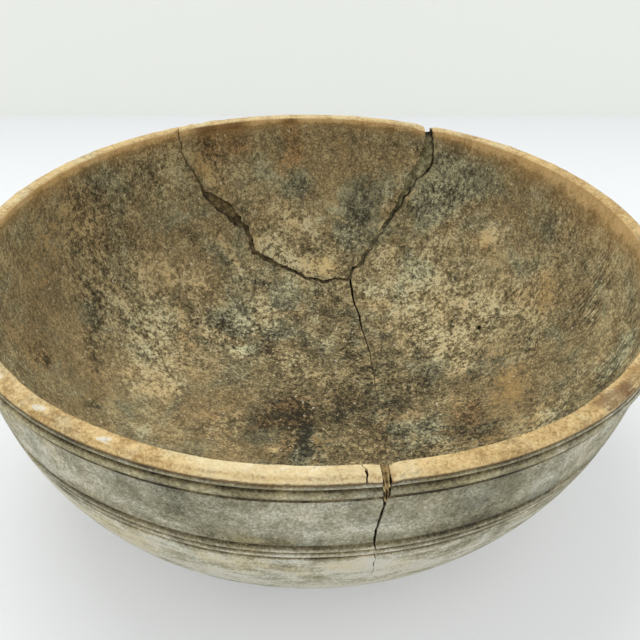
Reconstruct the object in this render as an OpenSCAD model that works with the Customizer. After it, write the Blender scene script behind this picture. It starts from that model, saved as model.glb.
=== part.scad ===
// Cracked bowl: a large old turned wooden bowl. A piece of its wall broke out,
// and was set back in with filler; the rim on the far side is split and plugged.
// Origin at the middle of the foot, +Z up, millimetres. The split rim is at -Y.

/* [Bowl] */
// Outside diameter across the rim
rim_d = 360; // [280:1:450]
// Height from the foot to the top of the rim
bowl_h = 137; // [110:1:175]
// Diameter of the flat foot
foot_d = 150; // [110:1:190]
// Thickness of the wood at the middle of the floor
floor_t = 12.5; // [10:0.5:18]

/* [Rim] */
// Width of the rim's rounded top, from the inside edge to the outside
rim_w = 8.5; // [7:0.1:12]
// How far the rim's top falls from its inside edge to its outside
rim_fall = 2.7; // [1:0.1:4]
// Size of the small worn break of the rim's inside edge
rim_break = 0.8; // [0.3:0.1:1.5]
// How far the collar under the rim stands out from the wall
collar_step = 3; // [2:0.1:4]
// Height of the collar, from the top of the rim to its lower edge
collar_h = 13.5; // [12:0.5:18]

/* [Turned lines] */
// Depth that the fine grooves are cut, which leave the beads standing between them
fine_cut = 1; // [0.5:0.1:1.3]
// Depth of the deeper groove that ends the collar
end_cut = 2.4; // [1.5:0.1:3]
// Depth below the rim where the lower band of lines starts
band_depth = 44; // [30:1:60]
// Depth that the wide groove of the lower band is cut into the wall
band_cut = 1.3; // [0.6:0.1:1.6]

/* [Shrinkage] */
// How far the wood has gone oval across a diagonal, as a share of the radius
oval = 0.0247; // [0:0.001:0.04]

/* [Damage] */
// How far the filler lies below the faces of the wood round it
filler_sink = 1.2; // [0.5:0.1:2.5]
// How far the filler lies below the top of the rim
filler_drop = 3; // [1:0.5:6]
// Share of the height where the plug in the split rim ends
plug_end = 88; // [86:1:94]
// Diameter of the beetle's flight hole
hole_d = 2.2; // [1.5:0.1:3]
// Depth of the flight hole
hole_depth = 7; // [4:0.5:9]

/* [Hidden] */
// Roundness of the outer curve, down the wall and round to the foot
OUT_DOWN = 1.8;
OUT_ROUND = 4;
// Roundness of the inner curve, the same way
IN_DOWN = 1.75;
IN_ROUND = 3.2;
// Straight steps that stand for each curve
STEPS = 20;
RIM_STEPS = 6;

rim_r = rim_d / 2;
wall_r = rim_r - collar_step;
mouth_r = rim_r - rim_w;
foot_share = pow(foot_d / 2 / wall_r, OUT_ROUND);
curve_h = bowl_h / pow(1 - foot_share, 1 / OUT_DOWN);
hollow_h = bowl_h - floor_t;
// Half widths of the fine, the collar's last and the wide groove
FINE_W = 0.9;
END_W = 1.9;
BAND_W = 2.8;

// The seam round the broken-out piece, seen from inside: angle round the bowl,
// height as a share of the bowl's, and width of the gap between the two edges
SEAM = [
  [126.4, 100, 0.6], [125.6, 91, 1.0], [124.9, 83.5, 0.8], [123.1, 76, 1.1],
  [121.5, 68.5, 1.8], [119.1, 63, 7.1], [116.9, 58.5, 8.1], [114.3, 53.5, 5.8],
  [113, 49.5, 2.7], [112.3, 45, 1.6], [111.4, 39, 1.7], [108.8, 36.7, 1.5],
  [106.8, 35, 1.6], [103.3, 32.3, 1.5], [99.6, 30.3, 1.5], [96.9, 28.7, 1.5],
  [93.6, 27.8, 1.4], [90.3, 27.4, 1.4], [86.5, 27.7, 1.4], [82.9, 28.3, 1.6],
  [81.3, 31.8, 1.8], [79.8, 35.3, 2], [78.3, 39, 2.4], [77.6, 41.5, 2.2],
  [75.6, 48, 1.8], [74.8, 52.6, 2], [72.4, 60, 2.6], [70.8, 68.6, 5.2],
  [69.8, 75, 7], [68.8, 79, 9], [67.9, 84.3, 9.2], [67.7, 89, 7.4],
  [67.7, 94.2, 4.6], [68.1, 100, 4.5]
];
// The seam's break runs through the wall along this direction: turned round
// from +Y, and laid over from level
SEAM_TURN = 7;
SEAM_LEAN = 65;
// The crack across the floor, from the seam's lowest corner: angle round the
// bowl, share of the radius at that corner, and width
FLOOR_CRACK = [
  [82.5, 108, 1.6], [81.6, 99, 1.6], [80.5, 95, 1.5], [78.8, 88.5, 1.3],
  [75.5, 82, 1.4], [72.8, 74.5, 1.2], [68.7, 67.5, 1.1], [63.4, 60.5, 1],
  [59.2, 54.5, 0.9], [50.7, 46.5, 0.7], [40.9, 40, 0.5], [25.4, 36, 0.3]
];
SEAM_LOW = 28.3;
// The split in the rim and wall at the front: sideways wander in millimetres,
// share of the height, and width
SPLIT = [
  [0, 106, 4.6], [0, 100, 4.2], [0.3, 95, 3.4], [0.6, 90, 1.8], [1.2, 86, 1.2],
  [0.6, 82, 1.4], [0, 78.5, 1.2], [-0.3, 74.5, 1.3], [-0.3, 70, 1], [0, 66, 0.6],
  [1.8, 61, 0.6], [2, 56, 0.5], [2.8, 50, 0.5], [2.4, 43, 0.3]
];
// Angle of the split, from -Y towards +X
SPLIT_TURN = 10.5;
// Place of the flight hole: angle round the bowl and share of the height
HOLE_TURN = 33.4;
HOLE_UP = 28.5;
HOLE_LEAN = 42;

$fn = 48;

// Radius of the outside and of the hollow at a depth below the rim
function outer_r(d) = wall_r * pow(1 - pow(min(d / curve_h, 1), OUT_DOWN), 1 / OUT_ROUND);
function inner_r(d) = mouth_r * pow(1 - pow(min(d / hollow_h, 1), IN_DOWN), 1 / IN_ROUND);
// Depth of a radius on the hollow's curve
function inner_d(r) = hollow_h * pow(1 - pow(min(r / mouth_r, 1), IN_ROUND), 1 / IN_DOWN);

// Unit vector square to the line that runs past point i of a list
function side(p, i) =
  let (a = p[max(i - 1, 0)], b = p[min(i + 1, len(p) - 1)],
       d = [b[0] - a[0], b[1] - a[1]], n = norm(d))
  [-d[1] / n, d[0] / n];
// Line moved sideways by a share of the width held with each point
function beside(p, w, share) =
  [for (i = [0:len(p) - 1]) p[i] + side(p, i) * w[i] * share];
function reversed(p) = [for (i = [len(p) - 1:-1:0]) p[i]];

// A point of the seam, on the plane that the break is seen square to
function seam_at(p) =
  let (z = bowl_h * p[1] / 100, r = inner_r(bowl_h - z),
       x = r * cos(p[0]), y = r * sin(p[0]))
  [x * cos(SEAM_TURN) + y * sin(SEAM_TURN),
   (y * cos(SEAM_TURN) - x * sin(SEAM_TURN)) * cos(SEAM_LEAN) + z * sin(SEAM_LEAN)];

seam_line = [for (p = SEAM) seam_at(p)];
seam_gap = [for (p = SEAM) p[2]];
tip_r = inner_r(bowl_h * (1 - SEAM_LOW / 100));
floor_line = [for (p = FLOOR_CRACK)
  tip_r * p[1] / 100 * [cos(p[0]), sin(p[0])]];
split_line = [for (p = SPLIT) [p[0], bowl_h * p[1] / 100]];

// Section of the wood, from the middle of the floor out and round to the foot,
// which stands 1 mm proud until it's cut level
module wall_section() {
  inner = [for (i = [0:STEPS])
    let (r = (mouth_r - 0.01) * sin(90 * i / STEPS)) [r, bowl_h - inner_d(r)]];
  top = [for (i = [0:RIM_STEPS])
    let (a = 90 * i / RIM_STEPS)
    [mouth_r + rim_break + (rim_w - rim_break) * sin(a), bowl_h - rim_fall * (1 - cos(a))]];
  outer = [for (i = [0:STEPS])
    let (d = collar_h + (bowl_h - collar_h) * sin(90 * i / STEPS)) [outer_r(d), bowl_h - d]];
  polygon(concat(
    [for (p = inner) if (p[1] < bowl_h - rim_break) p],
    [[mouth_r, bowl_h - rim_break]],
    top,
    [[rim_r, bowl_h - collar_h]],
    outer,
    [[foot_d / 2, -1], [0, -1]]
  ));
}

// One groove: a round cut into a face at radius r, at a depth below the rim
module groove(r, depth, half_w, cut) {
  tool_r = (half_w * half_w + cut * cut) / (2 * cut);
  translate([r + tool_r - cut, bowl_h - depth]) circle(r = tool_r);
}

// Grooves of the collar and of the lower band, cut from the outside
module groove_sections() {
  for (d = [rim_fall + 1.2, rim_fall + 4.4]) groove(rim_r, d, FINE_W, fine_cut);
  groove(rim_r, collar_h - END_W * 0.8, END_W, end_cut);
  wide = band_depth + BAND_W;
  groove(outer_r(wide), wide, BAND_W, band_cut);
  for (d = [wide + 4.8, wide + 9.6]) groove(outer_r(d), d, FINE_W, fine_cut);
}

module whole_bowl() {
  rotate_extrude($fn = 128) difference() {
    wall_section();
    groove_sections();
  }
}

// The wood's own shape, drawn in on every face, that the filler fills
module sunk_bowl(sink, drop) {
  rotate_extrude($fn = 128) polygon(concat(
    [for (i = [0:STEPS])
      let (r = (mouth_r + sink - 0.01) * sin(90 * i / STEPS))
      if (inner_d(r * mouth_r / (mouth_r + sink)) > drop)
      [r, bowl_h - inner_d(r * mouth_r / (mouth_r + sink)) - sink]],
    [[mouth_r + sink, bowl_h - drop - sink]],
    [[wall_r - sink, bowl_h - drop - sink]],
    [for (i = [0:STEPS])
      let (d = drop + sink + 1 + (bowl_h - drop - sink - 1) * sin(90 * i / STEPS))
      [outer_r(d) - sink, bowl_h - d + (i == STEPS ? sink : 0)]],
    [[0, sink]]
  ));
}

// Everything inside a line round the broken-out piece, through the back wall
module through_back(line) {
  first = line[0];
  last = line[len(line) - 1];
  rotate([SEAM_LEAN, 0, SEAM_TURN]) translate([0, 0, -bowl_h - rim_r])
    linear_extrude(height = bowl_h + rim_r * 0.88)
      polygon(concat([first + [0, rim_r / 4]], line, [last + [0, rim_r / 4]]));
}

module floor_cut() {
  w = [for (p = FLOOR_CRACK) p[2]];
  translate([0, 0, -2]) linear_extrude(height = bowl_h)
    polygon(concat(beside(floor_line, w, 0.5), reversed(beside(floor_line, w, -0.5))));
}

module split_cut() {
  w = [for (p = SPLIT) p[2]];
  rotate([0, 0, SPLIT_TURN]) rotate([90, 0, 0]) linear_extrude(height = rim_r + 1)
    polygon(concat(beside(split_line, w, 0.5), reversed(beside(split_line, w, -0.5))));
}

module flight_hole() {
  z = bowl_h * HOLE_UP / 100;
  rotate([0, 0, HOLE_TURN]) translate([inner_r(bowl_h - z), 0, z])
    rotate([0, 90 + HOLE_LEAN, 0]) translate([0, 0, -hole_depth / 2])
      cylinder(h = hole_depth * 1.5, d = hole_d);
}

// The wood has dried oval along one diagonal
module dried() {
  multmatrix([[1, oval, 0, 0], [oval, 1, 0, 0], [0, 0, 1, 0], [0, 0, 0, 1]])
    children();
}

module bowl_body() {
  color("#8a7a5e") difference() {
    dried() difference() {
      whole_bowl();
      through_back(beside(seam_line, seam_gap, -0.5));
      floor_cut();
      split_cut();
      flight_hole();
    }
    translate([-foot_d, -foot_d, -bowl_h]) cube([foot_d * 2, foot_d * 2, bowl_h]);
  }
}

module rim_fragment() {
  color("#7d6d54") dried() intersection() {
    whole_bowl();
    through_back(beside(seam_line, seam_gap, 0.5));
  }
}

module seam_filler() {
  color("#4a3c28") dried() intersection() {
    sunk_bowl(filler_sink, filler_drop);
    difference() {
      through_back(beside(seam_line, seam_gap, -0.5));
      through_back(beside(seam_line, seam_gap, 0.5));
    }
  }
}

module crack_filler() {
  color("#6b4a2b") dried() intersection() {
    sunk_bowl(0.4, 0.4);
    split_cut();
    rotate([0, 0, SPLIT_TURN]) translate([-rim_w, -rim_r, bowl_h * plug_end / 100])
      cube([rim_w * 2, rim_w * 3, bowl_h]);
  }
}

bowl_body();
rim_fragment();
seam_filler();
crack_filler();
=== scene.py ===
import bmesh
import bpy
import numpy as np
from mathutils import Matrix, Vector


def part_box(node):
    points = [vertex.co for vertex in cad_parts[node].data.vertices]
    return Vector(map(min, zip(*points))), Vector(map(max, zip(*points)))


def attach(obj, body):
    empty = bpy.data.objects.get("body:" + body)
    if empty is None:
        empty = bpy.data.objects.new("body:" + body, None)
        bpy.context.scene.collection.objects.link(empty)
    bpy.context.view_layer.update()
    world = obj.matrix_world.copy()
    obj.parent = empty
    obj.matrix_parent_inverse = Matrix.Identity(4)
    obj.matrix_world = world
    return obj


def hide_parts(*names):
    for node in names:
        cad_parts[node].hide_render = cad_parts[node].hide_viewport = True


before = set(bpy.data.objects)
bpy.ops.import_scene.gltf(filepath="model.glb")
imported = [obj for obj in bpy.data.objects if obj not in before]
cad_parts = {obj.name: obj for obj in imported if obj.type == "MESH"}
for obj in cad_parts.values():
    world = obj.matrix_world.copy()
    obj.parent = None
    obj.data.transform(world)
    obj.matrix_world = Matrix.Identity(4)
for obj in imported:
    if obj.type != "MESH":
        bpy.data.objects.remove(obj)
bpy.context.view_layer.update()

# ---------------------------------------------------------------------------
# The turned bowl: one piece of wood, turned on a lathe, with a rounded rim, a
# beaded collar and a second band of lines. It has dried oval, its wall is split
# at the front, and a piece has broken out of it at the back.
# ---------------------------------------------------------------------------

MM = 0.001
body_low, body_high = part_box("bowl_body")
OVAL = 0.0247
RIM_R = (body_high.x - body_low.x) / 2 / np.sqrt(1 + OVAL ** 2)
BOWL_H = body_high.z
RIM_W = 8.5 * MM
RIM_FALL = 2.7 * MM
RIM_BREAK = 0.8 * MM
COLLAR_STEP = 3 * MM
COLLAR_H = 13.5 * MM
FLOOR_T = 12.5 * MM
FOOT_R = 75 * MM
WALL_R = RIM_R - COLLAR_STEP
MOUTH_R = RIM_R - RIM_W
HOLLOW_H = BOWL_H - FLOOR_T
OUT_DOWN, OUT_ROUND = 1.8, 4
IN_DOWN, IN_ROUND = 1.75, 3.2
CURVE_H = BOWL_H / (1 - (FOOT_R / WALL_R) ** OUT_ROUND) ** (1 / OUT_DOWN)
# Each groove in millimetres: its depth below the rim, half width and cut
GROOVES = np.array([
    (3.1, 0.7, 0.7), (6.0, 0.8, 1.0), (12.1, 1.5, 1.7), (46.0, 1.8, 1.4),
    (50.5, 0.8, 1.1), (54.6, 0.8, 1.2)]) * MM


def outer_r(depth):
    """Outside radius: the wall's radius, brought in as a power of the depth."""
    share = np.clip(depth / CURVE_H, 0, 1) ** OUT_DOWN
    return WALL_R * (1 - share) ** (1 / OUT_ROUND)


def inner_r(depth):
    """Radius of the hollow at a depth, by the same kind of curve."""
    share = np.clip(depth / HOLLOW_H, 0, 1) ** IN_DOWN
    return MOUTH_R * (1 - share) ** (1 / IN_ROUND)


def inner_depth(r):
    """Depth of the hollow at a radius: inner_r solved for the depth."""
    return HOLLOW_H * (1 - np.clip(r / MOUTH_R, 0, 1) ** IN_ROUND) ** (1 / IN_DOWN)


def turned(depth):
    """Outside radius with the collar standing out, before its grooves."""
    step = 1 / (1 + np.exp(-(COLLAR_H - depth) / (0.25 * MM)))
    return outer_r(depth) + (RIM_R - outer_r(depth)) * step


def groove_cut(depth):
    """Sum of the grooves, each a rounded trough across its own half width."""
    across = (depth[..., None] - GROOVES[:, 0]) / GROOVES[:, 1]
    return (GROOVES[:, 2] * np.exp(-np.abs(across) ** 2.6)).sum(-1)


def section():
    """The closed outline of the wood as fine points (r, z), from the middle of the
    floor up the hollow, over the rim, down the outside and in across the foot,
    with the spacing that rows of the mesh need at each point."""
    a = np.linspace(0, np.pi / 2, 900)
    r = (MOUTH_R - 0.01 * MM) * np.sin(a)
    depth = inner_depth(r)
    keep = depth > RIM_BREAK
    r, depth = r[keep], depth[keep]
    pace = np.where(depth < 9 * MM, 0.9, 2.6)
    pace = np.where(r < 45 * MM, 5.0, pace)
    parts = [(r, -depth, pace)]
    a = np.linspace(0, np.pi / 2, 300)
    wide = RIM_W - RIM_BREAK
    parts.append((MOUTH_R + RIM_BREAK + wide * np.sin(a), -RIM_FALL * (1 - np.cos(a)),
                  np.full(300, 0.62)))
    depth = np.linspace(RIM_FALL + 0.02 * MM, BOWL_H, 4000)
    cut = groove_cut(depth)
    pace = np.select([depth < COLLAR_H + 1 * MM, depth < 43 * MM, depth < 59 * MM],
                     [0.5, 2.4, 0.64], 3.6)
    parts.append((turned(depth) - cut, -depth, pace))
    r = np.linspace(FOOT_R, 0.01 * MM, 300)[1:]
    parts.append((r, np.full(299, -BOWL_H), np.full(299, 8.0)))
    r, z, pace = [np.concatenate(p) for p in zip(*parts)]
    return r, z + BOWL_H, pace * MM


def running(steps):
    """The sum of the steps up to each point of a line, from 0 at its first."""
    return np.concatenate([[0], np.cumsum(steps)])


def rows_of(r, z, pace):
    """Points of the outline that lie its own pace apart."""
    along = running(np.hypot(np.diff(r), np.diff(z)) / (0.5 * (pace[1:] + pace[:-1])))
    at = np.linspace(0, along[-1], int(round(along[-1])) + 1)
    return np.interp(at, along, r), np.interp(at, along, z)


SPLIT_TURN = np.radians(10.5)


def columns():
    """Angles of the mesh's columns from the front, closest by the split."""
    a = np.radians(np.linspace(-180, 180, 7201))
    wide = np.where(np.abs(a - np.radians(2)) < np.radians(60), 0.7, 1.4)
    near = np.abs(a - SPLIT_TURN) / np.radians(1)
    wide = np.minimum(wide, 0.12 + 0.5 * np.clip((near - 1.6) / 2, 0, 3))
    along = running(np.degrees(np.diff(a)) / wide[1:])
    count = int(round(along[-1]))
    return np.interp(np.arange(count) * along[-1] / count, along, a)


def ripple(points, size, seed):
    """Smooth noise: each corner of a lattice, size apart, has a random slope, and
    a point's value is the blend of the slopes of the eight corners round it."""
    q = points / size
    cell = np.floor(q).astype(np.int64)
    f = q - cell
    w = f * f * f * (f * (f * 6 - 15) + 10)
    total = np.zeros(len(points))
    for corner in np.ndindex(2, 2, 2):
        c = np.array(corner)
        n = ((cell + c) * (73856093, 19349663, 83492791)).sum(-1) + seed * 7919
        n = (n ^ (n >> 13)) * 1274126177
        n = n ^ (n >> 16)
        slope = np.stack([n & 1023, (n >> 10) & 1023, (n >> 20) & 1023], -1) / 511.5 - 1
        share = np.prod(np.where(c, w, 1 - w), -1)
        total += share * (slope * (f - c)).sum(-1)
    return total


def smooth(low, high, x):
    """0 below low, 1 above high, and an eased rise between."""
    t = np.clip((x - low) / (high - low), 0, 1)
    return t * t * (3 - 2 * t)


def sprung(p):
    """Share by which the wall has sprung inwards at the split, and outwards on each
    side of it: bell curves of the angle, growing up the wall to the rim."""
    turn = np.degrees(np.arctan2(p[:, 0], -p[:, 1]))
    bend = 1.8 * np.exp(-((turn - 8) / 15) ** 2)
    bend = bend - 0.7 * np.exp(-((np.abs(turn - 2) - 42) / 12) ** 2)
    return bend * MM / RIM_R * smooth(30 * MM, BOWL_H, p[:, 2])


def dried(p):
    """The shape that the wood has dried to: an oval, for which each of x and y takes
    a share of the other, with its wall sprung at the split."""
    out = p.copy()
    out[:, 0] = p[:, 0] + OVAL * p[:, 1]
    out[:, 1] = p[:, 1] + OVAL * p[:, 0]
    out[:, :2] *= 1 - sprung(out)[:, None]
    return out


def undried(p):
    """Back from the dried shape to the round bowl that was turned."""
    out = p.copy()
    x, y = (p[:, :2] * (1 + sprung(p)[:, None])).T
    out[:, 0] = (x - OVAL * y) / (1 - OVAL ** 2)
    out[:, 1] = (y - OVAL * x) / (1 - OVAL ** 2)
    return out


def piece_of(name, points, faces):
    """A mesh object of its own from points and faces, with its place in the mesh."""
    mesh = bpy.data.meshes.new(name)
    mesh.from_pydata(points, [], faces)
    mesh.update()
    piece = bpy.data.objects.new(name, mesh)
    bpy.context.scene.collection.objects.link(piece)
    return piece


def skin_wear(p, a):
    """How far the skin stands out from the turned shape: a slow wobble, less the
    rim's nicks and one stretch of it that is worn rough."""
    wobble = 0.35 * MM * ripple(p, 70 * MM, 3) + 0.12 * MM * ripple(p, 18 * MM, 4)
    depth = BOWL_H - p[:, 2]
    inside = np.hypot(p[:, 0], p[:, 1]) < MOUTH_R + RIM_BREAK
    rim = smooth(5 * MM, 1 * MM, depth) * (1 - 0.5 * inside)
    nick = np.clip(ripple(p, 7 * MM, 11) - 0.12, 0, 1) * 1.3 * MM
    worn = np.exp(-((np.degrees(a) - 46) / 4) ** 2) * smooth(6 * MM, 3 * MM, depth)
    rough = worn * (0.5 + 1.2 * np.abs(ripple(p, 3 * MM, 12))) * MM
    return wobble - rim * nick - rough - smooth(0, 1 * MM, rim * MM) * 0.12 * MM


NOTCH_TURN = np.radians(159.3)


def split_dip(a, p):
    """The rim sinks on each side of the split and of the notch at the back, where
    its ends have rounded off."""
    off = (a - SPLIT_TURN) * RIM_R / MM
    left = 0.9 * np.exp(-(np.minimum(off + 1.2, 0) / 4.5) ** 2) * (off < 0)
    right = 2.1 * np.exp(-(np.maximum(off - 1.2, 0) / 3.0) ** 2) * (off >= 0)
    notch = 1.9 * np.exp(-((a - NOTCH_TURN) * RIM_R / (4.2 * MM)) ** 2)
    return (left + right + notch) * MM * smooth(6.5 * MM, 0.5 * MM, BOWL_H - p[:, 2])


def worn_bowl():
    """The whole bowl before it broke: its outline turned round the axis, then
    moved along its own normal by the wear of its skin and rim, and kept within
    the bowl's own radius and height."""
    r, z = rows_of(*section())
    dr, dz = np.gradient(r), np.gradient(z)
    length = np.hypot(dr, dz)
    nr, nz = dz / length, -dr / length
    turn = columns()
    a, k = np.meshgrid(turn, np.arange(len(r)), indexing="ij")
    flat = k.ravel()
    a = a.ravel()
    side = np.stack([np.sin(a), -np.cos(a)], -1)
    p = np.column_stack([side * r[flat][:, None], z[flat]])
    n = np.column_stack([side * nr[flat][:, None], nz[flat]])
    p = p + n * skin_wear(p, a)[:, None]
    p[:, :2] *= np.minimum(1, 0.9999 * RIM_R / np.hypot(p[:, 0], p[:, 1]))[:, None]
    p[:, 2] -= split_dip(a, p)
    points = dried(p)
    points[:, 2] = np.clip(points[:, 2], 0, BOWL_H)
    rows, cols = len(r), len(turn)
    i, j = np.meshgrid(np.arange(cols), np.arange(1, rows - 2), indexing="ij")
    i, j = i.ravel(), j.ravel()
    k2 = (i + 1) % cols
    quads = np.column_stack([i * rows + j, k2 * rows + j, k2 * rows + j + 1, i * rows + j + 1])
    ring = np.arange(cols) * rows
    following = np.roll(ring, -1)
    low, high = len(points), len(points) + 1
    points = np.vstack([points, [0, 0, FLOOR_T], [0, 0, 0]])
    floor = np.column_stack([following + 1, ring + 1, np.full(cols, low)])
    foot = np.column_stack([ring + rows - 2, following + rows - 2, np.full(cols, high)])
    used, index = np.unique(np.concatenate([quads.ravel(), floor.ravel(), foot.ravel()]),
                            return_inverse=True)
    faces = index[:quads.size].reshape(-1, 4).tolist()
    return points[used], faces + index[quads.size:].reshape(-1, 3).tolist()


# The V-shaped seam seen from inside: angle round the bowl, height in hundredths of
# the bowl's, and width of the gap in millimetres
SEAM = np.array([
    (126.4, 100, 0.5), (125.6, 91, 0.7), (124.9, 83.5, 0.6), (123.1, 76, 1.0),
    (121.5, 68.5, 1.8), (119.1, 63, 7.1), (116.9, 58.5, 8.1), (114.3, 53.5, 5.8),
    (113, 49.5, 3.4), (112.3, 45, 2.5), (111.4, 39, 2.6), (108.8, 36.7, 2.4),
    (106.8, 35, 2.4), (103.3, 32.3, 2.1), (99.6, 30.3, 1.8), (96.9, 28.7, 1.6),
    (93.6, 27.8, 1.4), (90.3, 27.4, 1.4), (86.5, 27.7, 1.4), (82.9, 28.3, 1.6),
    (81.3, 31.8, 1.8), (79.8, 35.3, 2), (78.3, 39, 2.4), (77.6, 41.5, 2.2),
    (75.6, 48, 1.8), (74.8, 52.6, 2), (72.4, 60, 2.6), (70.8, 68.6, 5.2),
    (69.8, 75, 7), (68.8, 79, 9), (67.9, 84.3, 9.2), (67.7, 89, 7.4),
    (67.7, 94.2, 4.6), (68.1, 100, 4.5)])
# Shares of the seam's length where its thin left end passes into the filled part, and
# where the filler starts to come away from the bowl
SHUT_ARM = (0.17, 0.10)
LOOSE_ARM = (0.60, 0.66)
SEAM_TURN = np.radians(7)
SEAM_LEAN = np.radians(65)
ALONG_U = np.array([np.cos(SEAM_TURN), np.sin(SEAM_TURN), 0])
ALONG_V = np.array([-np.sin(SEAM_TURN) * np.cos(SEAM_LEAN),
                    np.cos(SEAM_TURN) * np.cos(SEAM_LEAN), np.sin(SEAM_LEAN)])
THROUGH = np.cross(ALONG_V, ALONG_U)
BREAK_AXES = np.array([ALONG_U, ALONG_V, THROUGH])


def meets(flat, low, high, face_r):
    """How far along the break's direction a face of the wall lies from each point
    of the plane, found by halving between low and high."""
    for _ in range(24):
        middle = (low + high) / 2
        p = np.column_stack([flat, middle]) @ BREAK_AXES
        out = np.hypot(p[:, 0], p[:, 1]) > face_r(BOWL_H - p[:, 2])
        low, high = np.where(out, low, middle), np.where(out, middle, high)
    return low


def seam_path(pace):
    """The seam as points a pace apart on the break's plane, with the distances of
    the inside and outside along it, the gap, and the side that faces the piece."""
    turn = np.radians(SEAM[:, 0])
    z = BOWL_H * SEAM[:, 1] / 100
    r = inner_r(BOWL_H - z)
    q = np.column_stack([r * np.cos(turn), r * np.sin(turn), z]) @ BREAK_AXES.T
    step = running(np.hypot(*np.diff(q[:, :2], axis=0).T))
    s = np.linspace(0, step[-1], int(step[-1] / pace) + 1)
    u, v, w, gap = [np.interp(s, step, x) for x in (q[:, 0], q[:, 1], q[:, 2], SEAM[:, 2] * MM)]
    far = meets(np.column_stack([u, v]), w + 3 * MM, w + 60 * MM, turned)
    soft = np.ones(3) / 3
    u2, v2 = [np.convolve(np.pad(x, 1, mode="edge"), soft, "valid") for x in (u, v)]
    du, dv = np.gradient(u2), np.gradient(v2)
    length = np.hypot(du, dv)
    return s, np.column_stack([u, v]), w, far, gap, np.column_stack([-dv, du]) / length[:, None]


def fray(s, size, seed):
    """Noise along a line: smooth noise read along one edge of its lattice."""
    p = np.column_stack([s, np.full(len(s), 0.37 * size), np.full(len(s), 0.61 * size)])
    return ripple(p, size, seed)


def seam_jag(s):
    """How far the torn seam wanders to one side of its path."""
    return (2.6 * fray(s, 7 * MM, 21) + 1.2 * fray(s, 2.6 * MM, 22)) * MM


def skinned(loops, ends):
    """Faces of a skin through rings of points, all of one count, closed at each end
    by a fan to a point of its own."""
    count, m = loops.shape[:2]
    k, i = np.meshgrid(np.arange(count - 1), np.arange(m), indexing="ij")
    k, i = k.ravel(), i.ravel()
    j = (i + 1) % m
    faces = np.column_stack([k * m + i, k * m + j, (k + 1) * m + j, (k + 1) * m + i]).tolist()
    ring = np.arange(m)
    follow = np.roll(ring, -1)
    base = (count - 1) * m
    faces += np.column_stack([follow, ring, np.full(m, count * m)]).tolist()
    faces += np.column_stack([ring + base, follow + base, np.full(m, count * m + 1)]).tolist()
    return np.vstack([loops.reshape(-1, 3), ends]), faces


def break_cutter(name, share, chip_seed):
    """A closed plug through the back wall. Its side follows the seam, set to one
    edge of the gap and frayed; where it meets a face of the wall it flares, and so
    leaves a chipped edge."""
    s, flat, near, far, gap, side = seam_path(0.8 * MM)
    chip = (0.2 + 2.2 * np.clip(fray(s, 6 * MM, chip_seed) + 0.05, 0, 1)) * MM
    chip *= 1 - 0.9 * smooth(*SHUT_ARM, s / s[-1]) - 0.5 * smooth(*LOOSE_ARM, s / s[-1])
    skin = np.array([-14, -2.5, -0.8, 0, 0.45, 1.0, 1.9, 3.2]) * MM
    rings = [(near + t, t) for t in skin]
    rings += [(near + (far - near) * f, 9 * MM) for f in (0.42, 0.6)]
    rings += [(far - t, t) for t in skin[:0:-1]] + [(far + 20 * MM, -14 * MM)]
    loops = []
    for k, (w, t) in enumerate(rings):
        fibre = 0.7 * MM * ripple(np.column_stack([s, w, w * 0 + k * MM]), 2.6 * MM, chip_seed)
        flare = chip * np.exp(-max(t, 0) / (0.8 * MM)) * (1 + 0.5 * max(-t / MM, 0) ** 0.5)
        off = share * gap + seam_jag(s) + fibre + np.sign(share) * flare
        line = flat + side * off[:, None]
        ends = line[[-1, 0]] + [0, 45 * MM]
        loops.append(np.column_stack([np.vstack([line, ends]), np.append(w, w[[-1, 0]])]))
    ends = [(0, 150 * MM, near.mean() - 14 * MM), (0, 150 * MM, far.max() + 70 * MM)]
    points, faces = skinned(np.array(loops), np.array(ends))
    return piece_of(name, dried(points @ BREAK_AXES), faces)


def outward(piece):
    """Makes a closed piece's faces all point outwards."""
    mesh = bmesh.new()
    mesh.from_mesh(piece.data)
    bmesh.ops.recalc_face_normals(mesh, faces=mesh.faces)
    if mesh.calc_volume(signed=True) < 0:
        bmesh.ops.reverse_faces(mesh, faces=mesh.faces)
    mesh.to_mesh(piece.data)
    mesh.free()
    return piece


def carve(piece, tool, operation="DIFFERENCE"):
    """Cuts a piece with a tool, or keeps what they share, and drops the tool."""
    cut = piece.modifiers.new("carve", "BOOLEAN")
    cut.operation = operation
    cut.solver = "MANIFOLD"
    cut.object = tool
    depsgraph = bpy.context.evaluated_depsgraph_get()
    done = bpy.data.meshes.new_from_object(piece.evaluated_get(depsgraph))
    piece.modifiers.clear()
    piece.data = done
    bpy.data.objects.remove(tool)


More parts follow.
